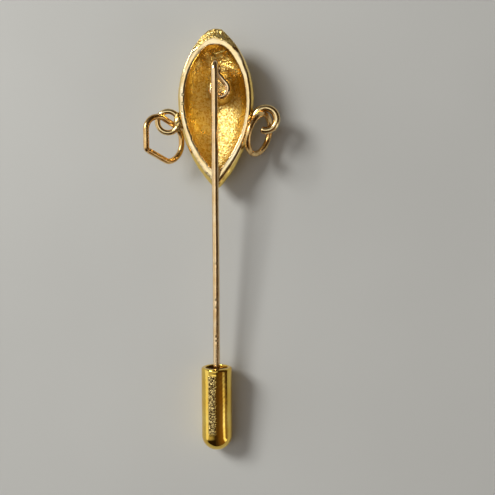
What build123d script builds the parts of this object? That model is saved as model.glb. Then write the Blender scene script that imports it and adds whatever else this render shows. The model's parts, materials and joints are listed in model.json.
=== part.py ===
from build123d import *
from math import atan2, cos, degrees, radians, sin, sqrt, tan
import os

# A stick pin that lies on its face, with its back up. Millimetres, +Z up, table at Z = 0,
# +Y towards the ornament. The pin's own frame slopes: its y runs along the stem's axis
# from the point to the ornament, its z stands out of the pin's back, and its origin is on
# the stem's axis at the ornament's widest place. Lengths "along" are that frame's y, and
# heights are that frame's z.

stem_slope = 5.4
stem_radius = 0.5

# Ornament: a hollow marquise whose rim faces back. Reaches run from the widest place.
rim_height = -1.4
shell_depth = 5.3
shell_half_width = 5.23
shell_head_reach = 9.8
shell_tail_reach = 12.2
shell_head_round = 2.85
shell_tail_round = 0.5
wall_bulge = 0.3
head_bulge = 0.3
tail_bulge = 0.7
bulge_head_round = 2.1
bulge_depth = 1.0
trough_depth = 4.1
trough_half_width = 4.47
trough_head_reach = 7.8
trough_tail_reach = 10.1
trough_head_round = 2.7
trough_tail_round = 1.2
boss_radius = 1.6
boss_x = 0.6
boss_along = 1.56
boss_height = -2.69
boss_length = 3.2
dome_turns = (0, 30, 50, 65, 78)
trough_shares = (0, 0.4, 0.75, 1)
trough_narrowing = 0.8
trough_power = 2.2

# Stem: one wire, bent back under itself at the head end and curled into a loop.
bend_along = 4.1
bend_radius = 1.1
bend_lean = 8.0
return_run = 0.14
curl_radius = 0.8
curl_turn = 42.0
curl_run = 1.44
loop_radius = 1.18
loop_turn = 225.0
solder_radius = 1.5
solder_rise = 0.5
slim_radius = 0.33
slim_length = 5.6
point_length = 3.4
point_radius = 0.06
shoulder_length = 0.35

# Clutch: a bullet that closes the stem's point.
mouth_along = -39.0
clutch_length = 12.4
barrel_radius = 2.25
barrel_wall = 0.25
lip_length = 0.45
lip_round = 0.3
lip_inner_radius = 1.62
collar_depth = 0.7
collar_thickness = 0.55
collar_hole_radius = 0.45
funnel_radius = 1.3
funnel_depth = 0.4
running_gap = 0.05
grip_gap = 0.1
grip_length = 6.2
grip_hub_radius = 0.95
grip_flange = 0.6
grip_slit = 0.25

# Eyelets and jump rings, all of round wire.
left_eyelet_radius = 1.54
left_eyelet_wire = 0.41
left_eyelet_centre = (-6.98, -3.23, -1.95)
neck_width = 2.9
neck_low = -0.25
neck_high = 0.5
neck_half_width = 0.55
neck_round = 0.33
right_eyelet_radius = 1.61
right_eyelet_wire = 0.52
right_eyelet_centre = (7.23, -2.9, -2.15)
right_eyelet_start = 172.0
right_eyelet_turn = 286.0
bead_radius = 0.62
ring_wire = 0.42
ring_radius = 2.93
left_ring_centre = (-7.56, -5.69, -1.42)
left_ring_lean = 0.0
left_ring_roll = 42.0
left_ring_corners = [
    (-3.05, -1.5, 0.55),
    (-3.1, 2.85, 1.9),
    (-0.6, 3.3, 1.6),
    (3.2, 1.3, 2.5),
    (3.05, -2.75, 2.6),
    (0.7, -3.3, 1.2),
]
right_ring_centre = (6.28, -5.06, -1.74)
right_ring_lean = -16.0
right_ring_roll = 62.0


# Where the pin's frame stands: the clutch's nose and the ornament's front touch the table.
slope = radians(stem_slope)
clutch_end = mouth_along - clutch_length
nose_centre = clutch_end + barrel_radius
datum_y = -(clutch_end + shell_head_reach + head_bulge) / 2 * cos(slope)
datum_z = barrel_radius - nose_centre * sin(slope)
back = Plane(origin=(0, datum_y, datum_z), x_dir=(1, 0, 0), z_dir=(0, -sin(slope), cos(slope)))
lengthwise = Plane(origin=back.origin, x_dir=back.y_dir, z_dir=back.x_dir)
stem_axis = Axis(back.origin, back.y_dir)
rim = back.offset(rim_height)


def at(x, along, height):
    """A point of the pin's own frame, in the part's frame."""
    return back.from_local_coords(Vector(x, along, height))


def pin_plane(centre):
    """A plane parallel to the pin's back, with its origin at a point of the pin's own frame."""
    return Plane(origin=at(*centre), x_dir=back.x_dir, z_dir=back.z_dir)


def across_stem(along):
    """A plane square to the stem's axis, facing the ornament."""
    return Plane(origin=at(0, along, 0), x_dir=back.x_dir, z_dir=back.y_dir)


def ring_plane(centre, lean, roll):
    """The plane of a jump ring: turned in the pin's back plane by the lean, then rolled about
    its own length so that its right side goes down."""
    across = back.x_dir * cos(radians(lean)) + back.y_dir * sin(radians(lean))
    return Plane(
        origin=at(*centre),
        x_dir=across * cos(radians(roll)) - back.z_dir * sin(radians(roll)),
        z_dir=across * sin(radians(roll)) + back.z_dir * cos(radians(roll)),
    )


def marquise(half_width, head_reach, tail_reach, head_round, tail_round):
    """A pointed oval: each side is a long arc towards the head and one towards the tail,
    and small arcs round the two tips."""
    angles = {}
    radii = {}
    for tip, reach, tip_round in (("head", head_reach, head_round), ("tail", tail_reach, tail_round)):
        rise = reach - tip_round
        radii[tip] = (half_width**2 + rise**2 - tip_round**2) / (2 * (half_width - tip_round))
        angles[tip] = degrees(atan2(rise, radii[tip] - half_width))
    turns = [
        (radii["head"], angles["head"]),
        (head_round, 180 - 2 * angles["head"]),
        (radii["head"], angles["head"]),
        (radii["tail"], angles["tail"]),
        (tail_round, 180 - 2 * angles["tail"]),
        (radii["tail"], angles["tail"]),
    ]
    with BuildSketch() as oval:
        with BuildLine():
            place = Vector(half_width, 0)
            heading = Vector(0, 1)
            for radius, turn in turns:
                arc = JernArc(start=place, tangent=heading, radius=radius, arc_size=turn)
                place = arc @ 1
                heading = arc % 1
        make_face()
    return oval.sketch


# Ornament shell: a dome whose outlines shrink towards the front as an ellipse does, with a
# lengthwise trough behind and a boss for the stem in it.
with BuildPart() as ornament_shell:
    with BuildSketch(rim):
        add(
            marquise(
                shell_half_width,
                shell_head_reach,
                shell_tail_reach,
                shell_head_round,
                shell_tail_round,
            )
        )
    for turn in dome_turns:
        shrink = cos(radians(turn))
        depth = bulge_depth + (shell_depth - bulge_depth) * sin(radians(turn))
        with BuildSketch(rim.offset(-depth)):
            add(
                marquise(
                    (shell_half_width + wall_bulge) * shrink,
                    (shell_head_reach + head_bulge) * shrink,
                    (shell_tail_reach + tail_bulge) * shrink,
                    bulge_head_round * shrink,
                    (shell_tail_round + wall_bulge) * shrink,
                )
            )
    loft()
    for share in trough_shares:
        shrink = 1 - trough_narrowing * share**trough_power
        with BuildSketch(rim.offset(-trough_depth * share)):
            add(
                marquise(
                    trough_half_width * shrink,
                    trough_head_reach * shrink,
                    trough_tail_reach * shrink,
                    trough_head_round * shrink,
                    trough_tail_round * shrink,
                )
            )
    loft(mode=Mode.SUBTRACT)
    with BuildSketch(back.offset(boss_height)):
        with Locations((boss_x, boss_along)):
            Circle(boss_radius)
    extrude(amount=-boss_length)


# Stem: a round wire, straight from the shoulder to the bend, then turned back under itself
# and curled into a loop that lies on the boss. Past the shoulder it is ground slimmer, down
# to the point.
lean = radians(bend_lean)
return_x = 2 * bend_radius * sin(lean)
return_height = -2 * bend_radius * cos(lean)
shoulder_along = mouth_along - collar_depth
slim_along = shoulder_along - shoulder_length
taper_along = slim_along - slim_length
point_along = taper_along - point_length
turn = radians(curl_turn)
corner_y = bend_along - return_run - curl_radius * tan(turn / 2)
curl_length = curl_radius * tan(turn / 2) + curl_run
curl_end = (return_x + curl_length * sin(turn), corner_y - curl_length * cos(turn))
with BuildPart() as pin_stem:
    with BuildSketch(across_stem(shoulder_along)):
        Circle(stem_radius)
    extrude(amount=bend_along - shoulder_along)
    with BuildLine():
        bend_middle = at(bend_radius * sin(lean), bend_along + bend_radius, -bend_radius * cos(lean))
        ThreePointArc(at(0, bend_along, 0), bend_middle, at(return_x, bend_along, return_height))
    with BuildLine(back.offset(return_height)):
        FilletPolyline((return_x, bend_along), (return_x, corner_y), curl_end, radius=curl_radius)
        JernArc(
            start=curl_end, tangent=(sin(turn), -cos(turn)), radius=loop_radius, arc_size=-loop_turn
        )
    with BuildSketch(across_stem(bend_along)):
        Circle(stem_radius)
    sweep()
    with BuildSketch(lengthwise):
        with BuildLine():
            Polyline(
                (shoulder_along, 0),
                (shoulder_along, stem_radius),
                (slim_along, slim_radius),
                (taper_along, slim_radius),
                (point_along, point_radius),
                (point_along, 0),
                close=True,
            )
        make_face()
    revolve(axis=stem_axis)


# Solder: a pool in and round the loop, down onto the boss.
with BuildPart() as stem_solder:
    with BuildSketch(back.offset(boss_height)):
        with Locations((boss_x, boss_along)):
            Circle(solder_radius)
    extrude(amount=solder_rise)
    add(pin_stem.part, mode=Mode.SUBTRACT)


# Eyelets: a closed ring at the left and an open C of thicker wire at the right. Each is
# filed to the shell's wall, and a bead of solder holds it there.
left_hub = pin_plane(left_eyelet_centre)
with BuildPart() as left_eyelet:
    with BuildSketch(Plane(origin=left_hub.origin, x_dir=left_hub.x_dir, z_dir=-left_hub.y_dir)):
        with Locations((left_eyelet_radius, 0)):
            Circle(left_eyelet_wire)
    revolve(axis=Axis(left_hub.origin, left_hub.z_dir))
    add(ornament_shell.part, mode=Mode.SUBTRACT)

with BuildPart() as left_eyelet_solder:
    with BuildSketch(left_hub.offset(neck_low)):
        with Locations((left_eyelet_radius, 0)):
            RectangleRounded(2 * neck_half_width, neck_width, neck_round)
    extrude(amount=neck_high - neck_low)
    add(ornament_shell.part, mode=Mode.SUBTRACT)
    add(left_eyelet.part, mode=Mode.SUBTRACT)

right_hub = pin_plane(right_eyelet_centre)
start_turn = radians(right_eyelet_start)
with BuildPart() as right_eyelet:
    with BuildSketch(
        Plane(
            origin=right_hub.origin,
            x_dir=right_hub.x_dir * cos(start_turn) + right_hub.y_dir * sin(start_turn),
            z_dir=right_hub.x_dir * sin(start_turn) - right_hub.y_dir * cos(start_turn),
        )
    ):
        with Locations((right_eyelet_radius, 0)):
            Circle(right_eyelet_wire)
    revolve(axis=Axis(right_hub.origin, -right_hub.z_dir), revolution_arc=right_eyelet_turn)
    add(ornament_shell.part, mode=Mode.SUBTRACT)

with BuildPart() as right_eyelet_solder:
    with Locations(right_hub.location):
        with Locations((right_eyelet_radius * cos(start_turn), right_eyelet_radius * sin(start_turn), 0)):
            Sphere(bead_radius)
    add(ornament_shell.part, mode=Mode.SUBTRACT)
    add(right_eyelet.part, mode=Mode.SUBTRACT)


# Jump rings: each hangs through its eyelet, with its inner side over the eyelet's wire.
left_ring = ring_plane(left_ring_centre, left_ring_lean, left_ring_roll)
with BuildPart() as left_jump_ring:
    with BuildLine(left_ring):
        ring_line = FilletPolyline(
            [(x, y) for x, y, bend in left_ring_corners],
            radius=[bend for x, y, bend in left_ring_corners],
            close=True,
        )
    with BuildSketch(Plane(origin=ring_line @ 0, z_dir=ring_line % 0)):
        Circle(ring_wire)
    sweep()

right_ring = ring_plane(right_ring_centre, right_ring_lean, right_ring_roll)
with BuildPart() as right_jump_ring:
    with BuildSketch(Plane(origin=right_ring.origin, x_dir=right_ring.x_dir, z_dir=-right_ring.y_dir)):
        with Locations((ring_radius, 0)):
            Circle(ring_wire)
    revolve(axis=Axis(right_ring.origin, right_ring.z_dir))


# Clutch: a drawn cup with a rounded end, a dished collar held under its rolled lip, and a
# split bush inside that grips the pin and turns freely in the cup.
inner_radius = barrel_radius - barrel_wall
half_way = sqrt(0.5)
collar_along = mouth_along - collar_depth
with BuildPart() as clutch_barrel:
    with BuildSketch(lengthwise):
        with BuildLine():
            wall = Line((nose_centre, barrel_radius), (mouth_along - lip_round, barrel_radius))
            lip = ThreePointArc(
                wall @ 1,
                (mouth_along - lip_round * (1 - half_way), barrel_radius - lip_round * (1 - half_way)),
                (mouth_along, barrel_radius - lip_round),
            )
            Polyline(
                lip @ 1,
                (mouth_along, lip_inner_radius),
                (mouth_along - lip_length, lip_inner_radius),
                (mouth_along - lip_length, inner_radius),
                (nose_centre, inner_radius),
            )
            ThreePointArc(
                (nose_centre, inner_radius),
                (nose_centre - inner_radius * half_way, inner_radius * half_way),
                (nose_centre - inner_radius, 0),
            )
            Line((nose_centre - inner_radius, 0), (clutch_end, 0))
            ThreePointArc(
                (clutch_end, 0),
                (nose_centre - barrel_radius * half_way, barrel_radius * half_way),
                (nose_centre, barrel_radius),
            )
        make_face()
    revolve(axis=stem_axis)

with BuildPart() as clutch_collar:
    with BuildSketch(lengthwise):
        with BuildLine():
            Polyline(
                (mouth_along - lip_length, inner_radius),
                (mouth_along - lip_length, lip_inner_radius),
                (collar_along, funnel_radius),
                (collar_along - funnel_depth, collar_hole_radius),
                (collar_along - collar_thickness, collar_hole_radius),
                (collar_along - collar_thickness, inner_radius),
                close=True,
            )
        make_face()
    revolve(axis=stem_axis)

grip_along = collar_along - collar_thickness - grip_gap
with BuildPart() as clutch_grip:
    with BuildSketch(across_stem(grip_along - grip_length)):
        Circle(grip_hub_radius)
    extrude(amount=grip_length)
    for flange_along in (grip_along - grip_flange, grip_along - grip_length):
        with BuildSketch(across_stem(flange_along)):
            Circle(inner_radius - running_gap)
        extrude(amount=grip_flange)
    with BuildSketch(across_stem(grip_along - grip_length)):
        Circle(slim_radius + running_gap)
    extrude(amount=grip_length, mode=Mode.SUBTRACT)
    with BuildSketch(across_stem(grip_along - grip_length + grip_flange)):
        Rectangle(grip_slit, 2 * barrel_radius)
    extrude(amount=grip_length - 2 * grip_flange, mode=Mode.SUBTRACT)


# Every piece is written under its own name.
pieces = {
    "ornament_shell": ornament_shell,
    "pin_stem": pin_stem,
    "stem_solder": stem_solder,
    "left_eyelet": left_eyelet,
    "left_eyelet_solder": left_eyelet_solder,
    "right_eyelet": right_eyelet,
    "right_eyelet_solder": right_eyelet_solder,
    "left_jump_ring": left_jump_ring,
    "right_jump_ring": right_jump_ring,
    "clutch_barrel": clutch_barrel,
    "clutch_collar": clutch_collar,
    "clutch_grip": clutch_grip,
}
os.makedirs("parts", exist_ok=True)
for name, piece in pieces.items():
    piece.part.label = name
    export_step(piece.part, f"parts/{name}.step")
    box = piece.part.bounding_box()
    print(name, "low", box.min, "high", box.max)
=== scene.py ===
import json
import bpy
import numpy as np
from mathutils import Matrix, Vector


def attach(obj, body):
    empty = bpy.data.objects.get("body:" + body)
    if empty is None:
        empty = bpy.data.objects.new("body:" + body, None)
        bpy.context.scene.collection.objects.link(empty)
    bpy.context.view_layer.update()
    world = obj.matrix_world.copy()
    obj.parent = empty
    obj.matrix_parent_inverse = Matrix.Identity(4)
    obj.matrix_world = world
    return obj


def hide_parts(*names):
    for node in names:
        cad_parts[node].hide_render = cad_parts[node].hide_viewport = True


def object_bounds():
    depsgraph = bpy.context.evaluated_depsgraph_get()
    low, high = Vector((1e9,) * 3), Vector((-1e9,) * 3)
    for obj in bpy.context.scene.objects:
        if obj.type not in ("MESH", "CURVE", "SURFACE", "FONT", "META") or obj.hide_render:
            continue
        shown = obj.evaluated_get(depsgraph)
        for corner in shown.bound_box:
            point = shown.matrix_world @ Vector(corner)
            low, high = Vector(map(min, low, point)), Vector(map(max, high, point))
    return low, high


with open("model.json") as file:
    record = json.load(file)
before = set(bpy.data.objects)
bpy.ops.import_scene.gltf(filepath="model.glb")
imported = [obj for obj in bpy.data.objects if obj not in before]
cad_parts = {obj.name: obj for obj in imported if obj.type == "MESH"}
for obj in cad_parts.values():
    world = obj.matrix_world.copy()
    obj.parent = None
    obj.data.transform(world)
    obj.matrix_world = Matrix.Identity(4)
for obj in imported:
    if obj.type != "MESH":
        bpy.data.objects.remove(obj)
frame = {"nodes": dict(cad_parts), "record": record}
cad_low, cad_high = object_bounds()

# ---------------------------------------------------------------------------------------
# Ornament: a hollow pointed oval, cast in a gold-plated alloy, that lies on its face. Its
# rim is filed and polished; the trough inside it and the head of the rim are left as they
# came out of the mould.
# ---------------------------------------------------------------------------------------
MM = 0.001
stem_mount = next(m for m in frame["record"]["mounts"] if m["name"] == "stem")
stem_mount_along = -18.0
rightwards = (1.0, 0.0, 0.0)
towards_head = -np.array(stem_mount["axis"])
pin_axes = np.array([rightwards, towards_head, np.cross(rightwards, towards_head)])
pin_origin = np.array(stem_mount["pos_m"]) / MM - stem_mount_along * towards_head


def placed(x, along, height):
    """Points of the pin's own frame in millimetres, as points of the CAD frame in metres. In
    the pin's frame x is to the right, along is down the stem's axis towards the ornament's
    head, and height is out of the pin's back."""
    local = np.stack(np.broadcast_arrays(x, along, height), axis=-1)
    return (pin_origin + local @ pin_axes) * MM


def eased(value, low, high):
    """A smooth step: nought up to low, one from high, and an S between them."""
    share = np.clip((value - low) / (high - low), 0, 1)
    return share * share * (3 - 2 * share)


def ripple(a, b, c, pitch):
    """Uneven ground between about -1 and 1: the mean of six sine waves that cross three
    coordinates at different slants, with lengths near the pitch."""
    slants = np.array(
        [
            (1.0, 0.3, 0.6), (-0.7, 1.1, 0.4), (0.5, -0.9, 1.2),
            (1.6, 0.8, -0.5), (-1.1, 1.9, 0.9), (2.3, -1.4, 1.3),
        ]
    )
    phase_step = 1.7
    gain = 1.6
    crossing = sum(np.multiply.outer(value, slants[:, i]) for i, value in enumerate((a, b, c)))
    waves = np.sin(2 * np.pi / pitch * crossing + np.arange(len(slants)) * phase_step)
    return waves.mean(axis=-1) * gain


def skin(name, rows, closed=False, marks=None):
    """A closed mesh over a grid of points, rows by columns, whose columns run round and
    meet. The last row joins the first if closed is set, and otherwise each end row is closed
    by a fan to its middle. The sign of the volume inside turns the faces outwards. Marks are
    values on the grid, kept as an attribute of the points."""
    count, around = rows.shape[:2]
    points = rows.reshape(-1, 3)
    index = np.arange(count * around).reshape(count, around)
    low = index if closed else index[:-1]
    high = np.roll(index, -1, axis=0) if closed else index[1:]
    quads = np.stack([low, np.roll(low, -1, 1), np.roll(high, -1, 1), high], -1).reshape(-1, 4)
    faces = quads.tolist()
    corners = np.concatenate([quads[:, [0, 1, 2]], quads[:, [0, 2, 3]]])
    if not closed:
        points = np.vstack([points, rows[0].mean(axis=0), rows[-1].mean(axis=0)])
        first = np.full(around, count * around)
        start = np.stack([np.roll(index[0], -1), index[0], first], axis=-1)
        finish = np.stack([index[-1], np.roll(index[-1], -1), first + 1], axis=-1)
        faces += start.tolist() + finish.tolist()
        corners = np.concatenate([corners, start, finish])
    a, b, c = (points[corners[:, i]] for i in range(3))
    if np.einsum("ij,ij->", a, np.cross(b, c)) < 0:
        faces = [face[::-1] for face in faces]
    mesh = bpy.data.meshes.new(name)
    mesh.from_pydata(points, [], faces)
    for mark, values in (marks or {}).items():
        held = np.broadcast_to(values, (count, around)).ravel()
        if not closed:
            held = np.concatenate([held, held[:1], held[-1:]])
        attribute = mesh.attributes.new(mark, "FLOAT", "POINT")
        attribute.data.foreach_set("value", held.astype(np.float32))
    mesh.shade_smooth()
    piece = bpy.data.objects.new(name, mesh)
    bpy.context.scene.collection.objects.link(piece)
    return piece


def fitted(piece, body, node, material):
    """The piece takes the place of its CAD node, rides on that node's body and is plated."""
    piece.data.materials.append(material)
    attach(piece, body)
    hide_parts(node)


def oval(around, half_width, head_reach, tail_reach, head_round, tail_round):
    """A pointed oval: on each side a long arc meets the small arc round each tip, and all of
    them touch. Around runs from 0 to 4, a quarter at a time from the right-hand side over
    the head, and the five sizes are columns, one outline to a row."""
    quarter = np.floor(around)
    part = np.where(quarter % 2 == 1, quarter + 1 - around, around - quarter)
    headwards = quarter < 2
    sideways = np.where((quarter == 0) | (quarter == 3), 1.0, -1.0)
    reach = np.where(headwards, head_reach, tail_reach)
    tip = np.where(headwards, head_round, tail_round)
    rise = reach - tip
    long_radius = (half_width**2 + rise**2 - tip**2) / (2 * (half_width - tip))
    long_angle = np.arctan2(rise, long_radius - half_width)
    long_length = long_radius * long_angle
    run = part * (long_length + tip * (np.pi / 2 - long_angle))
    on_tip = run > long_length
    angle = np.where(on_tip, long_angle + (run - long_length) / tip, run / long_radius)
    on_long = half_width - long_radius + long_radius * np.cos(angle)
    x = np.where(on_tip, tip * np.cos(angle), on_long)
    y = np.where(on_tip, rise + tip * np.sin(angle), long_radius * np.sin(angle))
    return sideways * x, np.where(headwards, y, -y)


# Each outline is its half width, its reach to the head and tail, and the round of each tip.
shell_outline = np.array([5.23, 9.8, 12.2, 2.85, 0.5])
shell_bulge = np.array([5.53, 10.1, 12.9, 2.1, 0.8])
trough_outline = np.array([4.47, 7.8, 10.1, 2.7, 1.2])
rim_height = -1.4
rim_crown = 0.05
edge_round = 0.14
bulge_depth = 1.0
front_depth = 5.2
dome_fullness = 0.96
trough_depth = 4.1
trough_narrowing = 0.8
trough_power = 2.2
floor_shares = (0.06, 0.97)

# Rows run from the middle of the trough up its wall, over its edge, across the rim, over
# the outer edge, down the side and in under the dome.
floor_steps, wall_steps, edge_steps, rim_steps, side_steps, dome_steps = 9, 84, 7, 16, 18, 52
columns = 480
floor = np.linspace(*floor_shares, floor_steps)[:, None]
share = np.linspace(1, 0, wall_steps)[:, None]
turn = np.linspace(0, np.pi / 2, edge_steps)[:, None]
across = np.linspace(0, 1, rim_steps)[:, None]
drop = np.linspace(0, 1, side_steps)[1:, None]
dome = np.linspace(0, np.pi / 2, dome_steps)[1:-1, None]
inner_edge = trough_outline + edge_round * (1 - np.cos(turn))
rim_inner = trough_outline + edge_round
rim_outer = shell_outline - edge_round
outlines = np.vstack(
    [
        trough_outline * (1 - trough_narrowing) * floor,
        trough_outline * (1 - trough_narrowing * share**trough_power),
        inner_edge[1:],
        (rim_inner + (rim_outer - rim_inner) * across)[1:-1],
        rim_outer + edge_round * np.sin(turn),
        shell_outline + (shell_bulge - shell_outline) * np.sin(drop * np.pi / 2),
        shell_bulge * np.cos(dome) ** dome_fullness,
    ]
)
heights = rim_height - np.vstack(
    [
        trough_depth + 0 * floor,
        edge_round + (trough_depth - edge_round) * share,
        edge_round * (1 - np.sin(turn))[1:],
        -rim_crown * np.sin(np.pi * across)[1:-1],
        edge_round * (1 - np.cos(turn)),
        edge_round + (bulge_depth - edge_round) * drop,
        bulge_depth + (front_depth - bulge_depth) * np.sin(dome),
    ]
)
x, along = oval(np.linspace(0, 4, columns, endpoint=False), *(outlines[:, i : i + 1] for i in range(5)))

# Where each row is: in the trough, on the rim, and how far over the rim, which is 0 at its
# inner edge and 1 at its outer edge.
trough_fade = (-2, 1)
rim_fade = (8, 14)
outward_fade = (0.25, 0.5)
over_rim_limit = 1.4
row = np.arange(len(outlines))[:, None]
trough_rows = floor_steps + wall_steps
rim_rows = trough_rows + edge_steps - 1 + rim_steps - 2
in_trough = 1 - eased(row - trough_rows, *trough_fade)
on_rim = 1 - eased(np.abs(row - (trough_rows + rim_rows) / 2), *rim_fade)
over_rim = np.clip((row - trough_rows - edge_steps + 1) / (rim_steps - 2), 0, over_rim_limit)
outwards = eased(over_rim, *outward_fade)

# The trough is shallower towards the head, and its floor rises steeply to a boss, a round
# table for the solder.
head_shallowing = 0.2
shallow_from_to = (1.0, 5.0)
boss_x = 0.6
boss_along = 1.56
boss_height = -2.69
boss_radius = 1.6
boss_flank = 0.22
boss_softness = 0.07
shallow = 1 - head_shallowing * eased(along, *shallow_from_to)
heights = np.where(row < trough_rows, rim_height + (heights - rim_height) * shallow, heights + 0 * x)
from_boss = np.hypot(x - boss_x, along - boss_along)
boss = boss_height - np.maximum(from_boss - boss_radius, 0) / boss_flank
boss_lift = boss_softness * np.logaddexp(0, (boss - heights) / boss_softness)
height = heights + in_trough * boss_lift


def dot(x, along, at, up, radius):
    """A round bump, one high at its place and fading as the bell curve of its radius."""
    return np.exp(-((x - at) ** 2 + (along - up) ** 2) / radius**2)


# The mould leaves the trough lumpy, with two low mounds, and a seam above the stem's bend.
# Each mound is its place, its width and its height.
lump_height, lump_pitch = 0.045, 2.6
grit_height, grit_pitch = 0.02, 0.9
seam_along, seam_slope, seam_height, seam_width = 6.5, 0.3, 0.1, 0.16
seam_from_to = (-0.4, 0.2)
mounds = [(2.3, 3.7, 1.7, 0.75), (-2.4, 5.0, 1.1, 0.4)]
lumps = lump_height * ripple(x, along, height, lump_pitch)
lumps = lumps + grit_height * ripple(along, height, x, grit_pitch)
seam_line = seam_along + seam_slope * x
seam = seam_height * np.exp(-(((along - seam_line) / seam_width) ** 2)) * eased(x, *seam_from_to)
mound_lift = sum(rise * dot(x, along, at, up, wide) for at, up, wide, rise in mounds)

# The head of the rim slopes away, grainy, and the rest of it keeps only a slight wave.
head_from_to = (6.6, 8.4)
head_grain, head_pitch = 0.03, 0.45
head_bevel = 0.55
bevel_from_to = (0.25, 1.1)
bevel_rows = 24
wave_height, wave_pitch = 0.006, 5.0
wobble_height, wobble_pitch = 0.0035, 1.7
wave_rows = 8
headwards = eased(along, *head_from_to)
grain = headwards * outwards
head_height = head_grain * grain * ripple(x, along, height, head_pitch)
height = height + in_trough * (lumps + seam + mound_lift) + head_height
bevel_share = eased(over_rim, *bevel_from_to) * (1 - eased(row, rim_rows, rim_rows + bevel_rows))
height = height - head_bevel * headwards * bevel_share
wave = wave_height * ripple(x, along, height, wave_pitch)
wave = wave + wobble_height * ripple(along, x, height, wobble_pitch)
wave = 1 + wave * eased(row, trough_rows - wave_rows, trough_rows)
x, along = x * wave, along * wave

# Two nubs of the mould stand on the head, and pits are left here and there in the rim.
nub_places = [(-0.1, 9.95), (1.0, 9.6)]
nub_height, nub_radius, nub_rows = 0.24, 0.17, 20
pit_places = [(-4.82, -0.6), (-4.86, -1.9), (-4.8, 0.7), (4.75, -3.2)]
pit_depth, pit_radius = 0.07, 0.11
for place in nub_places:
    height = height + nub_height * dot(x, along, *place, nub_radius) * (row < rim_rows + nub_rows)
for place in pit_places:
    height = height - pit_depth * dot(x, along, *place, pit_radius) * on_rim

# "cast" marks where the plating is on unpolished metal, and "coarse" where that metal is
# grainy: the trough's floor and tail more than its walls.
floor_rows = (30, 62)
tail_from_to = (1.0, 6.0)
wall_coarseness = 0.4
head_rows = 26
side_cast = 0.85
side_rows = (1, 5)
on_floor = np.maximum(1 - eased(row, *floor_rows), eased(-along, *tail_from_to))
head_cast = grain * (row < rim_rows + head_rows)
trough_coarse = in_trough * (wall_coarseness + (1 - wall_coarseness) * on_floor)
side = side_cast * eased(row - rim_rows, *side_rows)
marks = {
    "cast": np.clip(in_trough + head_cast + side, 0, 1),
    "coarse": np.clip(trough_coarse + head_cast, 0, 1),
}
ornament = skin("ornament", placed(x, along, height), marks=marks)


def wired(nodes, kind, **settings):
    """A new shader node of a kind, with its inputs set by name: a socket is joined, and
    anything else is a constant."""
    node = nodes.nodes.new(kind)
    for key, value in settings.items():
        if hasattr(node, key) and key not in node.inputs:
            setattr(node, key, value)
            continue
        spaced = key.replace("_", " ")
        joined(nodes, value, node.inputs[spaced if spaced in node.inputs else key])
    return node


def joined(nodes, value, place):
    """Gives an input its value: a socket is linked, and anything else is a constant."""
    if isinstance(value, bpy.types.NodeSocket):
        nodes.links.new(value, place)
    else:
        place.default_value = value


def grains(nodes, size, detail=3.0, kind="noise"):
    """A pattern on the object's own coordinates, whose blobs are about a size in
    millimetres: soft noise, round cells, or specks that are each one shade."""
    spot = wired(nodes, "ShaderNodeTexCoord").outputs["Object"]
    scale = 1 / (size * MM)
    if kind == "noise":
        return wired(nodes, "ShaderNodeTexNoise", Vector=spot, Scale=scale, Detail=detail).outputs["Fac"]
    cells = wired(nodes, "ShaderNodeTexVoronoi", Vector=spot, Scale=scale)
    if kind == "cells":
        return cells.outputs["Distance"]
    return wired(nodes, "ShaderNodeSeparateColor", Color=cells.outputs["Color"]).outputs["Red"]


def ranged(nodes, value, from_low, from_high, to_low=0.0, to_high=1.0):
    """A value carried from one range to another, held at the ends."""
    return wired(
        nodes, "ShaderNodeMapRange",
        Value=value, From_Min=from_low, From_Max=from_high, To_Min=to_low, To_Max=to_high,
    ).outputs["Result"]


def mixed(nodes, factor, first, second):
    """A colour between two colours."""
    node = wired(nodes, "ShaderNodeMix", data_type="RGBA")
    factor_place, colour_places, colour_result = 0, (6, 7), 2
    for place, value in zip((factor_place, *colour_places), (factor, first, second)):
        joined(nodes, value, node.inputs[place])
    return node.outputs[colour_result]


def calculated(nodes, operation, first, second):
    """One sum, difference, product or other result of two values."""
    node = wired(nodes, "ShaderNodeMath", operation=operation)
    for place, value in enumerate((first, second)):
        joined(nodes, value, node.inputs[place])
    return node.outputs["Value"]


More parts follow.
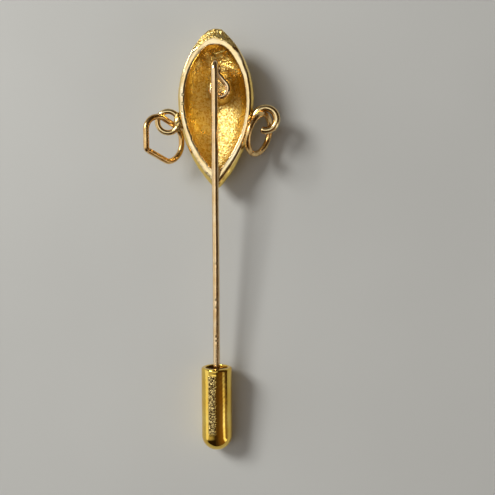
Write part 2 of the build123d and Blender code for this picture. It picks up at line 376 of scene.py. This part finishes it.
def plated(name, light, dark, smooth, dull, stain_size, scratch_size, scratch_depth, cast=None):
    """Gold plate: a colour that drifts between two golds, a roughness that drifts with it,
    and fine marks in the surface. Cast is the finish where the metal is as it was moulded, and
    on the clutch the finish of its pebbled strip, whose specks are a painted reflection: its
    colours, its roughness, the size of its grains, how deep they are, and the share of them
    that is dark. Sizes and depths are in millimetres."""
    stain_span = (0.35, 0.65)
    gloss_span = (0.3, 0.7)
    gloss_size = 0.3 * stain_size
    material = bpy.data.materials.new(name)
    material.use_nodes = True
    nodes = material.node_tree
    nodes.nodes.clear()
    worn = ranged(nodes, grains(nodes, stain_size, detail=4.0), *stain_span)
    colour = mixed(nodes, worn, light, dark)
    roughness = ranged(nodes, grains(nodes, gloss_size), *gloss_span, smooth, dull)
    depth = calculated(nodes, "MULTIPLY", grains(nodes, scratch_size, detail=2.0), scratch_depth * MM)
    if cast:
        speck_edge = 0.25
        patch_size = 1.2
        pebble_size = 1.6 * cast["grain"]
        unpolished = wired(nodes, "ShaderNodeAttribute", attribute_name="cast").outputs["Fac"]
        coarse = wired(nodes, "ShaderNodeAttribute", attribute_name="coarse").outputs["Fac"]
        fleck = grains(nodes, cast["grain"], kind="specks")
        speck = ranged(nodes, fleck, cast["share"], cast["share"] + speck_edge)
        speckled = mixed(nodes, speck, cast["dark"], cast["light"])
        colour = mixed(nodes, unpolished, colour, mixed(nodes, coarse, cast["plain"], speckled))
        cast_rough = ranged(nodes, grains(nodes, patch_size), *stain_span, cast["smooth"], cast["dull"])
        gap = calculated(nodes, "SUBTRACT", cast_rough, roughness)
        roughness = calculated(nodes, "ADD", roughness, calculated(nodes, "MULTIPLY", gap, coarse))
        pebble = calculated(nodes, "MULTIPLY", grains(nodes, pebble_size, kind="cells"), cast["depth"] * MM)
        grit = calculated(nodes, "MULTIPLY", grains(nodes, cast["grain"], detail=6.0), cast["depth"] * MM)
        rough_depth = calculated(nodes, "MULTIPLY", calculated(nodes, "ADD", pebble, grit), coarse)
        depth = calculated(nodes, "ADD", depth, rough_depth)
    relief = wired(nodes, "ShaderNodeBump", Height=depth, Strength=1.0, Distance=1.0).outputs["Normal"]
    metal = wired(
        nodes, "ShaderNodeBsdfPrincipled",
        Base_Color=colour, Metallic=1.0, Roughness=roughness, Normal=relief,
    )
    wired(nodes, "ShaderNodeOutputMaterial", Surface=metal.outputs["BSDF"])
    return material


cast_gold = plated(
    "cast_gold", light=(0.98, 0.84, 0.54, 1), dark=(0.92, 0.7, 0.34, 1), smooth=0.09, dull=0.2,
    stain_size=2.2, scratch_size=0.2, scratch_depth=0.006,
    cast={
        "plain": (0.97, 0.68, 0.14, 1), "light": (0.98, 0.79, 0.33, 1), "dark": (0.76, 0.48, 0.1, 1),
        "smooth": 0.28, "dull": 0.44, "grain": 0.19, "depth": 0.085, "share": 0.25,
    },
)
fitted(ornament, "pin", "ornament_shell", cast_gold)

# ---------------------------------------------------------------------------------------
# Stem: one drawn brass wire about a millimetre thick, plated paler than the casting. It is
# bent back under itself at the head and curled into a loop that is soldered to the boss;
# its other end is ground slim and sharp, and is hidden in the clutch.
# ---------------------------------------------------------------------------------------
stem_radius = 0.5
slim_radius = 0.33
point_radius = 0.06
point_along = -49.05
taper_along = -45.65
slim_along = -40.05
shoulder_along = -39.7
bend_along = 4.1
bend_radius = 1.1
bend_lean = np.radians(8)
return_height = -2 * bend_radius * np.cos(bend_lean)
return_x = 2 * bend_radius * np.sin(bend_lean)
return_runs = np.array([0.0, 0.14, 0.586, 1.44, 4.634])
return_turns = np.radians([-90.0, -90.0, -48.0, -48.0, -273.0])
stem_end_bevel = 0.15
stem_around = 40
point_steps, slim_steps, shoulder_steps, shank_steps, bend_steps, loop_steps = 14, 6, 8, 420, 34, 150


def unit(vectors):
    """The same directions, each one long."""
    return vectors / np.linalg.norm(vectors, axis=-1, keepdims=True)


def wire(path, radius, side, around=40):
    """A round wire: at each point of the path a circle stands square to it. The circle
    starts from the side direction, made square to the path. Radius may be a column of radii
    or a grid, one to each point and angle."""
    tangent = unit(np.gradient(path, axis=0))
    first = unit(side - (side * tangent).sum(axis=1, keepdims=True) * tangent)
    second = np.cross(tangent, first)
    angle = np.linspace(0, 2 * np.pi, around, endpoint=False)[None, :, None]
    size = np.broadcast_to(radius, (len(path), around))[:, :, None]
    return path[:, None] + size * (first[:, None] * np.cos(angle) + second[:, None] * np.sin(angle))


def wired_piece(name, rows, closed=False):
    """The mesh of a wire whose rows of points are in the pin's own frame."""
    return skin(name, placed(*np.moveaxis(rows, -1, 0)), closed=closed)


def rounded_end(distance, radius, bevel):
    """The radius that a wire keeps at a distance from its end: a quarter of an ellipse over
    the bevel's length, cut off short of the ellipse's end."""
    cut_short = 0.75
    near = np.clip(1 - distance / bevel, 0, 1)
    return radius * np.sqrt(np.clip(1 - (cut_short * near) ** 2, 0, 1))


# The shank is very slightly bowed, by two long waves that die out at both of its ends.
bow_waves = [(0.02, 5.3), (0.004, 2.1)]
bow_start, bow_stop = 6, 4
shank = np.concatenate(
    [
        np.linspace(point_along, taper_along, point_steps, endpoint=False),
        np.linspace(taper_along, slim_along, slim_steps, endpoint=False),
        np.linspace(slim_along, shoulder_along, shoulder_steps, endpoint=False),
        np.linspace(shoulder_along, bend_along, shank_steps, endpoint=False),
    ]
)
bow = sum(reach * np.sin(shank / length) for reach, length in bow_waves)
bow = bow * eased(shank, shoulder_along, shoulder_along + bow_start)
bow = bow * (1 - eased(shank, bend_along - bow_stop, bend_along))
shank_path = np.stack([bow, shank, 0 * shank], axis=-1)
half_turn = np.linspace(0, np.pi, bend_steps, endpoint=False)
bend_path = np.stack(
    [
        bend_radius * np.sin(bend_lean) * (1 - np.cos(half_turn)),
        bend_along + bend_radius * np.sin(half_turn),
        -bend_radius * np.cos(bend_lean) * (1 - np.cos(half_turn)),
    ],
    axis=-1,
)
stations = np.cumsum(return_runs)
run = np.linspace(0, stations[-1], loop_steps)
heading = np.interp((run[1:] + run[:-1]) / 2, stations, return_turns)
steps = np.diff(run)
loop_x = return_x + np.concatenate([[0], np.cumsum(steps * np.cos(heading))])
loop_along = bend_along + np.concatenate([[0], np.cumsum(steps * np.sin(heading))])
loop_path = np.stack([loop_x, loop_along, np.full_like(loop_x, return_height)], axis=-1)
stem_path = np.concatenate([shank_path, bend_path, loop_path])
sideways = np.zeros(len(stem_path))
sideways[-len(loop_path) :] = np.pi / 2 * eased(run, 0, return_runs[1])
stem_side = np.stack([np.cos(sideways), 0 * sideways, np.sin(sideways)], axis=-1)
thickness = np.interp(
    stem_path[:, 1], [point_along, taper_along, slim_along, shoulder_along],
    [point_radius, slim_radius, slim_radius, stem_radius],
)
thickness[len(shank) :] = stem_radius
thickness[-len(loop_path) :] = rounded_end(run[-1] - run, stem_radius, stem_end_bevel)

# Nicks: the wire was nipped and scraped here and there on its left and upper sides. Each is
# its place along the wire and its depth.
nick_places = [(-23.9, 0.022), (-29.2, 0.028), (-30.3, 0.02), (-34.6, 0.024), (-35.2, 0.03), (-12.5, 0.012)]
nick_length = 0.22
nick_angle = np.radians(115)
nick_edge = 0.3
angle = np.linspace(0, 2 * np.pi, stem_around, endpoint=False)
facing = eased(np.cos(angle + nick_angle), nick_edge, 1.0)
thickness = np.repeat(thickness[:, None], stem_around, axis=1)
for nick_along, nick_depth in nick_places:
    nick = np.exp(-(((stem_path[:, 1] - nick_along) / nick_length) ** 2))
    nick[len(shank) :] = 0
    thickness = thickness - nick_depth * nick[:, None] * facing
stem = wired_piece("stem", wire(stem_path, thickness, stem_side, stem_around))
stem_wire = plated(
    "stem_wire", light=(0.94, 0.73, 0.44, 1), dark=(0.86, 0.6, 0.3, 1), smooth=0.14, dull=0.26,
    stain_size=1.4, scratch_size=0.1, scratch_depth=0.002,
)
fitted(stem, "pin", "pin_stem", stem_wire)

# ---------------------------------------------------------------------------------------
# Solder: a pool that has run in and round the stem's loop and set on the boss, and a lump
# at the root of each eyelet. It is plated over with the rest and stays a little lumpy.
# ---------------------------------------------------------------------------------------
pool_centre = (boss_x, boss_along, -2.62)
pool_radii = (1.62, 1.6, 0.3)
pool_unevenness, pool_pitch = 0.09, 1.1


def lump(name, centre, radii, unevenness, pitch):
    """A blob: an ellipsoid, from pole to pole by rows, whose radii are stretched and shrunk
    by a ripple across its own place."""
    pole_gap, rows, around = 0.04, 40, 64
    down = np.linspace(pole_gap, np.pi - pole_gap, rows)[:, None]
    angle = np.linspace(0, 2 * np.pi, around, endpoint=False)
    ball = [np.sin(down) * np.cos(angle), np.sin(down) * np.sin(angle), np.cos(down) + 0 * angle]
    spread = [c + r * b for c, r, b in zip(centre, radii, ball)]
    stretch = 1 + unevenness * ripple(*spread, pitch)
    return skin(name, placed(*(c + r * b * stretch for c, r, b in zip(centre, radii, ball))))


solder = plated(
    "solder", light=(0.92, 0.7, 0.3, 1), dark=(0.72, 0.46, 0.13, 1), smooth=0.16, dull=0.34,
    stain_size=0.8, scratch_size=0.2, scratch_depth=0.012,
)
pool = lump("stem_solder_pool", pool_centre, pool_radii, pool_unevenness, pool_pitch)
fitted(pool, "pin", "stem_solder", solder)

# ---------------------------------------------------------------------------------------
# Eyelets: a closed ring of wire at the left and an open hook of thicker wire at the right,
# each bent round a mandrel, laid against the ornament's wall and soldered there.
# ---------------------------------------------------------------------------------------
back_side = np.array([0.0, 0.0, 1.0])
left_eyelet_centre = np.array([-6.98, -3.23, -1.95])
left_eyelet_radius = 1.54
left_eyelet_wire = 0.41
left_eyelet_steps = 120
left_eyelet_around = 36
left_neck_offset = np.array([1.5, 0.0, 0.1])
left_neck_radii = (0.66, 1.45, 0.42)
left_neck_unevenness, left_neck_pitch = 0.08, 1.3
right_eyelet_centre = np.array([7.23, -2.9, -2.15])
right_eyelet_radius = 1.61
right_eyelet_wire = 0.52
right_eyelet_start = 172.0
right_eyelet_turn = 286.0
right_eyelet_steps = 140
right_eyelet_bevel = 0.2
right_bead_radii = (0.6, 0.62, 0.6)
right_bead_unevenness, right_bead_pitch = 0.06, 0.9


def bent(centre, radius, start, turn, count):
    """Points round an arc in the plane of the pin's back, from a start angle in degrees,
    turning to the right as seen from the back."""
    angle = np.radians(start - np.linspace(0, turn, count))
    return centre + radius * np.stack([np.cos(angle), np.sin(angle), 0 * angle], axis=-1)


eyelet_wire = plated(
    "eyelet_wire", light=(0.96, 0.78, 0.42, 1), dark=(0.86, 0.62, 0.28, 1), smooth=0.13, dull=0.26,
    stain_size=1.0, scratch_size=0.12, scratch_depth=0.004,
)
circle = bent(left_eyelet_centre, left_eyelet_radius, 0, 360, left_eyelet_steps + 1)[:-1]
outward = unit(circle - left_eyelet_centre)[:, None]
section = np.linspace(0, 2 * np.pi, left_eyelet_around, endpoint=False)[None, :, None]
ring_rows = circle[:, None] + left_eyelet_wire * (outward * np.cos(section) + back_side * np.sin(section))
left_eyelet = wired_piece("left_eyelet_ring", ring_rows, closed=True)
fitted(left_eyelet, "pin", "left_eyelet", eyelet_wire)

hook = bent(
    right_eyelet_centre, right_eyelet_radius, right_eyelet_start, right_eyelet_turn, right_eyelet_steps
)
hook_run = np.linspace(0, np.radians(right_eyelet_turn) * right_eyelet_radius, right_eyelet_steps)
hook_wire = rounded_end(hook_run[-1] - hook_run, right_eyelet_wire, right_eyelet_bevel)
right_eyelet = wired_piece("right_eyelet_hook", wire(hook, hook_wire[:, None], back_side))
fitted(right_eyelet, "pin", "right_eyelet", eyelet_wire)

left_neck = left_eyelet_centre + left_neck_offset
left_solder = lump("left_eyelet_neck", left_neck, left_neck_radii, left_neck_unevenness, left_neck_pitch)
fitted(left_solder, "pin", "left_eyelet_solder", solder)
right_solder = lump("right_eyelet_bead", hook[0], right_bead_radii, right_bead_unevenness, right_bead_pitch)
fitted(right_solder, "pin", "right_eyelet_solder", solder)

# ---------------------------------------------------------------------------------------
# Jump rings: turns of gilt wire cut from a coil, opened with pliers, hooked through the
# eyelets and closed again. The left one was closed badly and has a corner at its cut.
# ---------------------------------------------------------------------------------------
ring_wire = 0.42
ring_around = 36
ring_steps = 240
outline_steps = 260
corner_steps = 24
cut_width = 0.05
cut_bevel = 0.07
left_ring_centre = np.array([-7.56, -5.69, -1.42])
left_ring_roll = np.radians(42)
left_ring_corners = np.array(
    [(-3.05, -1.5), (-3.1, 2.85), (-0.6, 3.3), (3.2, 1.3), (3.05, -2.75), (0.7, -3.3)]
)
left_ring_bends = np.array([0.55, 1.9, 1.6, 2.5, 2.6, 1.2])
right_ring_centre = np.array([6.28, -5.06, -1.74])
right_ring_radius = 2.93
right_ring_lean = np.radians(-16)
right_ring_roll = np.radians(62)
right_ring_cut = np.radians(250)


def softened(corners, bends):
    """A closed outline with rounded corners: at each corner an arc of the given bend touches
    both sides. Returned as points an even way apart."""
    arriving = unit(corners - np.roll(corners, 1, axis=0))
    leaving = unit(np.roll(corners, -1, axis=0) - corners)
    crossed = arriving[:, 0] * leaving[:, 1] - arriving[:, 1] * leaving[:, 0]
    turning = np.arctan2(crossed, (arriving * leaving).sum(axis=1))
    reach = bends * np.tan(np.abs(turning) / 2)
    inward = np.stack([-arriving[:, 1], arriving[:, 0]], axis=-1) * np.sign(turning)[:, None]
    middle = corners - arriving * reach[:, None] + inward * bends[:, None]
    swept = np.linspace(0, 1, corner_steps)[None, :, None] * turning[:, None, None]
    first = -inward[:, None]
    square = np.stack([-first[..., 1], first[..., 0]], axis=-1)
    arcs = middle[:, None] + bends[:, None, None] * (first * np.cos(swept) + square * np.sin(swept))
    line = arcs.reshape(-1, 2)
    line = np.vstack([line, line[:1]])
    way = np.concatenate([[0], np.cumsum(np.linalg.norm(np.diff(line, axis=0), axis=1))])
    even = np.linspace(0, way[-1], outline_steps)
    return np.stack([np.interp(even, way, line[:, i]) for i in range(2)], axis=-1)


def cut_ring(name, outline, centre, right, up):
    """A ring of wire that follows an outline in the plane of right and up, and whose two cut
    ends face each other across the cut, where the outline starts and stops."""
    path = centre + outline[:, :1] * right + outline[:, 1:] * up
    way = np.concatenate([[0], np.cumsum(np.linalg.norm(np.diff(path, axis=0), axis=1))])
    even = np.linspace(cut_width / 2, way[-1] - cut_width / 2, ring_steps)
    path = np.stack([np.interp(even, way, path[:, i]) for i in range(3)], axis=-1)
    nearest_end = np.minimum(even - even[0], even[-1] - even)
    radius = rounded_end(nearest_end, ring_wire, cut_bevel)
    return wired_piece(name, wire(path, radius[:, None], np.cross(right, up), ring_around))


ring_gold = plated(
    "ring_wire", light=(0.93, 0.66, 0.3, 1), dark=(0.72, 0.42, 0.14, 1), smooth=0.14, dull=0.3,
    stain_size=0.9, scratch_size=0.1, scratch_depth=0.004,
)
left_right = np.array([np.cos(left_ring_roll), 0, -np.sin(left_ring_roll)])
lengthwise = np.array([0.0, 1.0, 0.0])
left_outline = softened(left_ring_corners, left_ring_bends)
left_ring = cut_ring("left_ring_link", left_outline, left_ring_centre, left_right, lengthwise)
fitted(left_ring, "left_ring", "left_jump_ring", ring_gold)

ring_across = np.array([np.cos(right_ring_lean), np.sin(right_ring_lean), 0])
ring_right = ring_across * np.cos(right_ring_roll) - back_side * np.sin(right_ring_roll)
ring_normal = ring_across * np.sin(right_ring_roll) + back_side * np.cos(right_ring_roll)
ring_up = np.cross(ring_normal, ring_right)
angle = right_ring_cut + np.linspace(0, 2 * np.pi, outline_steps + 1)
right_outline = right_ring_radius * np.stack([np.cos(angle), np.sin(angle)], axis=-1)
right_ring = cut_ring("right_ring_link", right_outline, right_ring_centre, ring_right, ring_up)
fitted(right_ring, "right_ring", "right_jump_ring", ring_gold)

# ---------------------------------------------------------------------------------------
# Clutch: a brass cup drawn to a rounded end, polished and plated like a mirror, with its
# mouth rolled in over a dished washer. A sprung bush inside it grips the stem's point.
# ---------------------------------------------------------------------------------------
mouth_along = -39.0
clutch_end = -51.4
barrel_radius = 2.25
barrel_wall = 0.25
inner_radius = barrel_radius - barrel_wall
nose_centre = clutch_end + barrel_radius
nose_hole = np.radians(1.5)
lip_round = 0.3
lip_inner_radius = 1.62
lip_inner_round = 0.12
lip_length = 0.45
collar_depth = 0.7
funnel_radius = 1.3
funnel_depth = 0.4
collar_hole = 0.45
collar_thickness = 0.55
nose_steps, wall_points, lip_steps, washer_steps = 40, 150, 9, 12
inside_wall_stride, inside_nose_stride = 8, 4
barrel_around = 192
collar_around = 96


def turned(profile, around):
    """A profile of (along, radius) points spun about the stem's axis, as rows of points of
    the pin's own frame, and their angles. Each circle starts at the pin's back and goes to
    its right."""
    angle = np.linspace(0, 2 * np.pi, around, endpoint=False)
    along, radius = profile[:, :1], profile[:, 1:]
    return radius * np.sin(angle), along + 0 * angle, radius * np.cos(angle), angle


def profile_of(along, radius):
    """A stretch of a profile, from its places along the axis and its radii there."""
    return np.stack(np.broadcast_arrays(along, radius), axis=-1)


nose_turn = np.linspace(nose_hole, np.pi / 2, nose_steps, endpoint=False)
inner_turn = nose_turn[::-inside_nose_stride]
lip_turn = np.linspace(0, np.pi / 2, lip_steps)
wall_run = np.linspace(nose_centre, mouth_along - lip_round, wall_points, endpoint=False)
lip_bottom = mouth_along - lip_length
barrel_profile = np.vstack(
    [
        profile_of(nose_centre - barrel_radius * np.cos(nose_turn), barrel_radius * np.sin(nose_turn)),
        profile_of(wall_run, barrel_radius),
        profile_of(
            mouth_along - lip_round * (1 - np.sin(lip_turn)),
            barrel_radius - lip_round * (1 - np.cos(lip_turn)),
        ),
        profile_of(
            mouth_along - lip_inner_round * (1 - np.cos(lip_turn)),
            lip_inner_radius + lip_inner_round * (1 - np.sin(lip_turn)),
        ),
        [(lip_bottom, lip_inner_radius), (lip_bottom, inner_radius)],
        profile_of(wall_run[::-inside_wall_stride], inner_radius),
        profile_of(nose_centre - inner_radius * np.cos(inner_turn), inner_radius * np.sin(inner_turn)),
    ]
)
dent_depth, dent_pitch, dent_stretch = 0.004, 3.4, 0.35
dimple_depth, dimple_pitch = 0.0006, 1.2
x, along, height, angle = turned(barrel_profile, barrel_around)
dents = dent_depth * ripple(x, along * dent_stretch, height, dent_pitch)
dents = dents + dimple_depth * ripple(along, x, height, dimple_pitch)
x, height = x * (1 + dents), height * (1 + dents)

# A pebbled strip along the back, left of the middle: its pits are real, and the dark and pale specks in its
# colour are a painted reflection of the room's dark and bright boundary.
strip_left = np.radians(-29)
strip_right = np.radians(5)
strip_edge = 0.05
strip_fade = 0.2
strip_start = (0.1, 0.8)
strip_stop = (1.1, 0.7)
signed = np.where(angle > np.pi, angle - 2 * np.pi, angle)
from_left = eased(signed, strip_left - strip_edge, strip_left + strip_edge)
strip = from_left * (1 - eased(signed, strip_right - strip_fade, strip_right + strip_edge))
from_nose = eased(along, *(nose_centre + reach for reach in strip_start))
lengthwise_share = from_nose * (1 - eased(along, *(mouth_along - reach for reach in strip_stop)))
outer = (np.arange(len(barrel_profile)) < len(nose_turn) + len(wall_run))[:, None]
pitted_reflection_strip = strip * lengthwise_share * outer
barrel = skin("clutch_cup_shell", placed(x, along, height), marks={"cast": pitted_reflection_strip, "coarse": pitted_reflection_strip})
# The strip's near-black and pale specks are a painted reflection; only their grain depth is real pitting.
mirror_gold = plated(
    "mirror_gold", light=(0.94, 0.68, 0.15, 1), dark=(0.9, 0.58, 0.09, 1), smooth=0.04, dull=0.09,
    stain_size=2.4, scratch_size=0.25, scratch_depth=0.001,
    cast={
        "plain": (0.9, 0.6, 0.1, 1), "light": (0.88, 0.68, 0.28, 1), "dark": (0.14, 0.085, 0.025, 1),
        "smooth": 0.14, "dull": 0.26, "grain": 0.15, "depth": 0.05, "share": 0.35,
    },
)
fitted(barrel, "clutch_cup", "clutch_barrel", mirror_gold)

# The washer's outline, each of its sides cut into short steps.
washer_end = mouth_along - collar_depth - collar_thickness
collar_corners = np.array(
    [
        (lip_bottom, inner_radius),
        (lip_bottom, lip_inner_radius),
        (mouth_along - collar_depth, funnel_radius),
        (mouth_along - collar_depth - funnel_depth, collar_hole),
        (washer_end, collar_hole),
        (washer_end, inner_radius),
    ]
)
corner_count = len(collar_corners)
whole = np.arange(corner_count + 1)
fine = np.linspace(0, corner_count, washer_steps * corner_count, endpoint=False)
closed_corners = np.vstack([collar_corners, collar_corners[:1]])
collar_profile = profile_of(*(np.interp(fine, whole, closed_corners[:, i]) for i in range(2)))
collar = skin("clutch_washer", placed(*turned(collar_profile, collar_around)[:3]), closed=True)
# The washer is coloured far darker than brass: painted shade for the hollow inside the clutch's mouth.
painted_shade_brass = plated(
    "painted_shade_brass", light=(0.3, 0.19, 0.07, 1), dark=(0.12, 0.075, 0.035, 1), smooth=0.28, dull=0.5,
    stain_size=0.7, scratch_size=0.15, scratch_depth=0.01,
)
fitted(collar, "clutch_cup", "clutch_collar", painted_shade_brass)

# The bush keeps its CAD shape.
spring_brass = plated(
    "spring_brass", light=(0.8, 0.6, 0.3, 1), dark=(0.62, 0.42, 0.2, 1), smooth=0.22, dull=0.4,
    stain_size=0.9, scratch_size=0.15, scratch_depth=0.006,
)
grip = frame["nodes"]["clutch_grip"]
grip.data.materials.clear()
grip.data.materials.append(spring_brass)

# ---------------------------------------------------------------------------------------
# Studio: a pale, matt table top under a soft window light from the upper left, in a room
# that polished metal mirrors.
# ---------------------------------------------------------------------------------------
table_half = 1.2
table_patch = 60.0
table_patch_span = (0.3, 0.7)
table_dark = (0.61, 0.635, 0.633, 1)
table_pale = (0.66, 0.687, 0.685, 1)
table_roughness = 0.6
table_gloss = 0.25
bpy.ops.mesh.primitive_plane_add(size=2 * table_half, location=(0, 0, cad_low.z))
table = bpy.context.object
table.name = "table_top"
table_paint = bpy.data.materials.new("table_paint")
table_paint.use_nodes = True
paint = table_paint.node_tree
patches = ranged(paint, grains(paint, table_patch), *table_patch_span)
coat = paint.nodes["Principled BSDF"].inputs
paint.links.new(mixed(paint, patches, table_dark, table_pale), coat["Base Color"])
coat["Roughness"].default_value = table_roughness
coat["Specular IOR Level"].default_value = table_gloss
table.data.materials.append(table_paint)

# The window faces the object's middle: turned from the left towards the ornament's head,
# raised above the table, in metres, and as bright as its surface looks.
window_turn, window_rise = np.radians([33, 40])
window_distance = 0.5
window_width = window_length = 0.17
window_brightness = 19.5
window_colour = (1.0, 0.97, 0.92)
object_middle = (np.array(cad_low) + np.array(cad_high)) / 2
level_reach = np.cos(window_rise)
window_way = np.array(
    [-np.cos(window_turn) * level_reach, np.sin(window_turn) * level_reach, np.sin(window_rise)]
)
pane = bpy.data.lights.new("window", "AREA")
pane.shape = "RECTANGLE"
pane.size, pane.size_y = window_width, window_length
pane.energy = window_brightness * np.pi * window_width * window_length
pane.color = window_colour
window = bpy.data.objects.new("window", pane)
window.location = object_middle + window_distance * window_way
window.rotation_mode = "QUATERNION"
window.rotation_quaternion = Vector(window_way).to_track_quat("Z", "Y")
window.visible_camera = False
bpy.context.scene.collection.objects.link(window)

# The room: bright overhead and at the head, dimmer towards the point, bright again low at
# the left and in a thin strip low at the right, and brown and dark between that and
# overhead. Each band is a direction, where it starts and is full, and its values there.
bands = {
    "towards_point": ("Y", -0.25, -0.34),
    "past_head": ("Y", 0.05, 0.25),
    "leftwards": ("X", -0.4, -0.75, 1.0, 0.4),
    "low_left": ("X", -0.82, -0.88, 0.0, 0.8),
    "edge_shift": ("Y", -0.08, -0.28, 0.17, -0.1),
    "far_right": ("X", 0.84, 0.97, 0.0, 0.5),
    "point_end": ("Y", -0.45, -0.62),
    "strip_start": ("X", 0.7, 0.8),
    "strip_stop": ("X", 0.87, 0.91),
    "left_side": ("X", -0.2, -0.7),
    "corner_rise": ("X", 0.1, 0.75),
}
dark_edge = (-0.02, 0.1)
ceiling_white = (1.15, 1.12, 1.1, 1)
head_wall = (0.1, 0.085, 0.07, 1)
point_wall_right = (0.05, 0.035, 0.025, 1)
point_wall_left = (0.45, 0.42, 0.36, 1)
point_end_dark = (0.02, 0.012, 0.006, 1)
corner_dark = (0.05, 0.03, 0.015, 1)
corner_brown = (0.26, 0.14, 0.05, 1)
strip_white = (1.4, 1.36, 1.26, 1)
backdrop = (0.6, 0.59, 0.56, 1)

room = bpy.data.worlds.new("room")
bpy.context.scene.world = room
room.use_nodes = True
air = room.node_tree
toward = wired(air, "ShaderNodeSeparateXYZ", Vector=wired(air, "ShaderNodeTexCoord").outputs["Generated"])
band = {name: ranged(air, toward.outputs[axis], *edges) for name, (axis, *edges) in bands.items()}
towards_point = band["towards_point"]


def less(first, second):
    """One value of the room less another."""
    return calculated(air, "SUBTRACT", first, second)


def times(first, second):
    """One value of the room times another."""
    return calculated(air, "MULTIPLY", first, second)


ceiling = less(less(1.0, towards_point), band["past_head"])
bright = calculated(air, "MAXIMUM", times(ceiling, band["leftwards"]), band["low_left"])
past_edge = ranged(air, less(toward.outputs["X"], band["edge_shift"]), *dark_edge)
darkness = less(past_edge, times(band["far_right"], towards_point))
strip_light = times(less(band["strip_start"], band["strip_stop"]), towards_point)
point_wall = mixed(air, band["left_side"], point_wall_right, point_wall_left)
far_wall = mixed(air, towards_point, head_wall, point_wall)
far_wall = mixed(air, band["point_end"], far_wall, point_end_dark)
corner = mixed(air, times(band["corner_rise"], towards_point), corner_dark, corner_brown)
wall = mixed(air, bright, far_wall, ceiling_white)
wall = mixed(air, darkness, wall, corner)
wall = mixed(air, strip_light, wall, strip_white)
seen = wired(air, "ShaderNodeLightPath").outputs["Is Camera Ray"]
glow = air.nodes["Background"].inputs
air.links.new(mixed(air, seen, wall, backdrop), glow["Color"])
glow["Strength"].default_value = 1.0

# The camera looks down at the pin's back, very slightly from the right.
lens_height = 0.14
lens_shift = 6.5 * MM
look_at = object_middle[:2] + np.array([4.84, -0.86]) * MM
lens = bpy.data.cameras.new("lens")
lens.sensor_width = 36.0
lens.lens = 67.9
lens.clip_start = 0.005
lens.clip_end = 10.0
camera = bpy.data.objects.new("camera", lens)
camera.location = (look_at[0] + lens_shift, look_at[1], cad_low.z + lens_height)
camera.rotation_euler = (0, np.arctan2(lens_shift, lens_height), 0)
bpy.context.scene.collection.objects.link(camera)
bpy.context.scene.camera = camera
bpy.context.scene.view_settings.view_transform = "Standard"

bpy.context.view_layer.update()
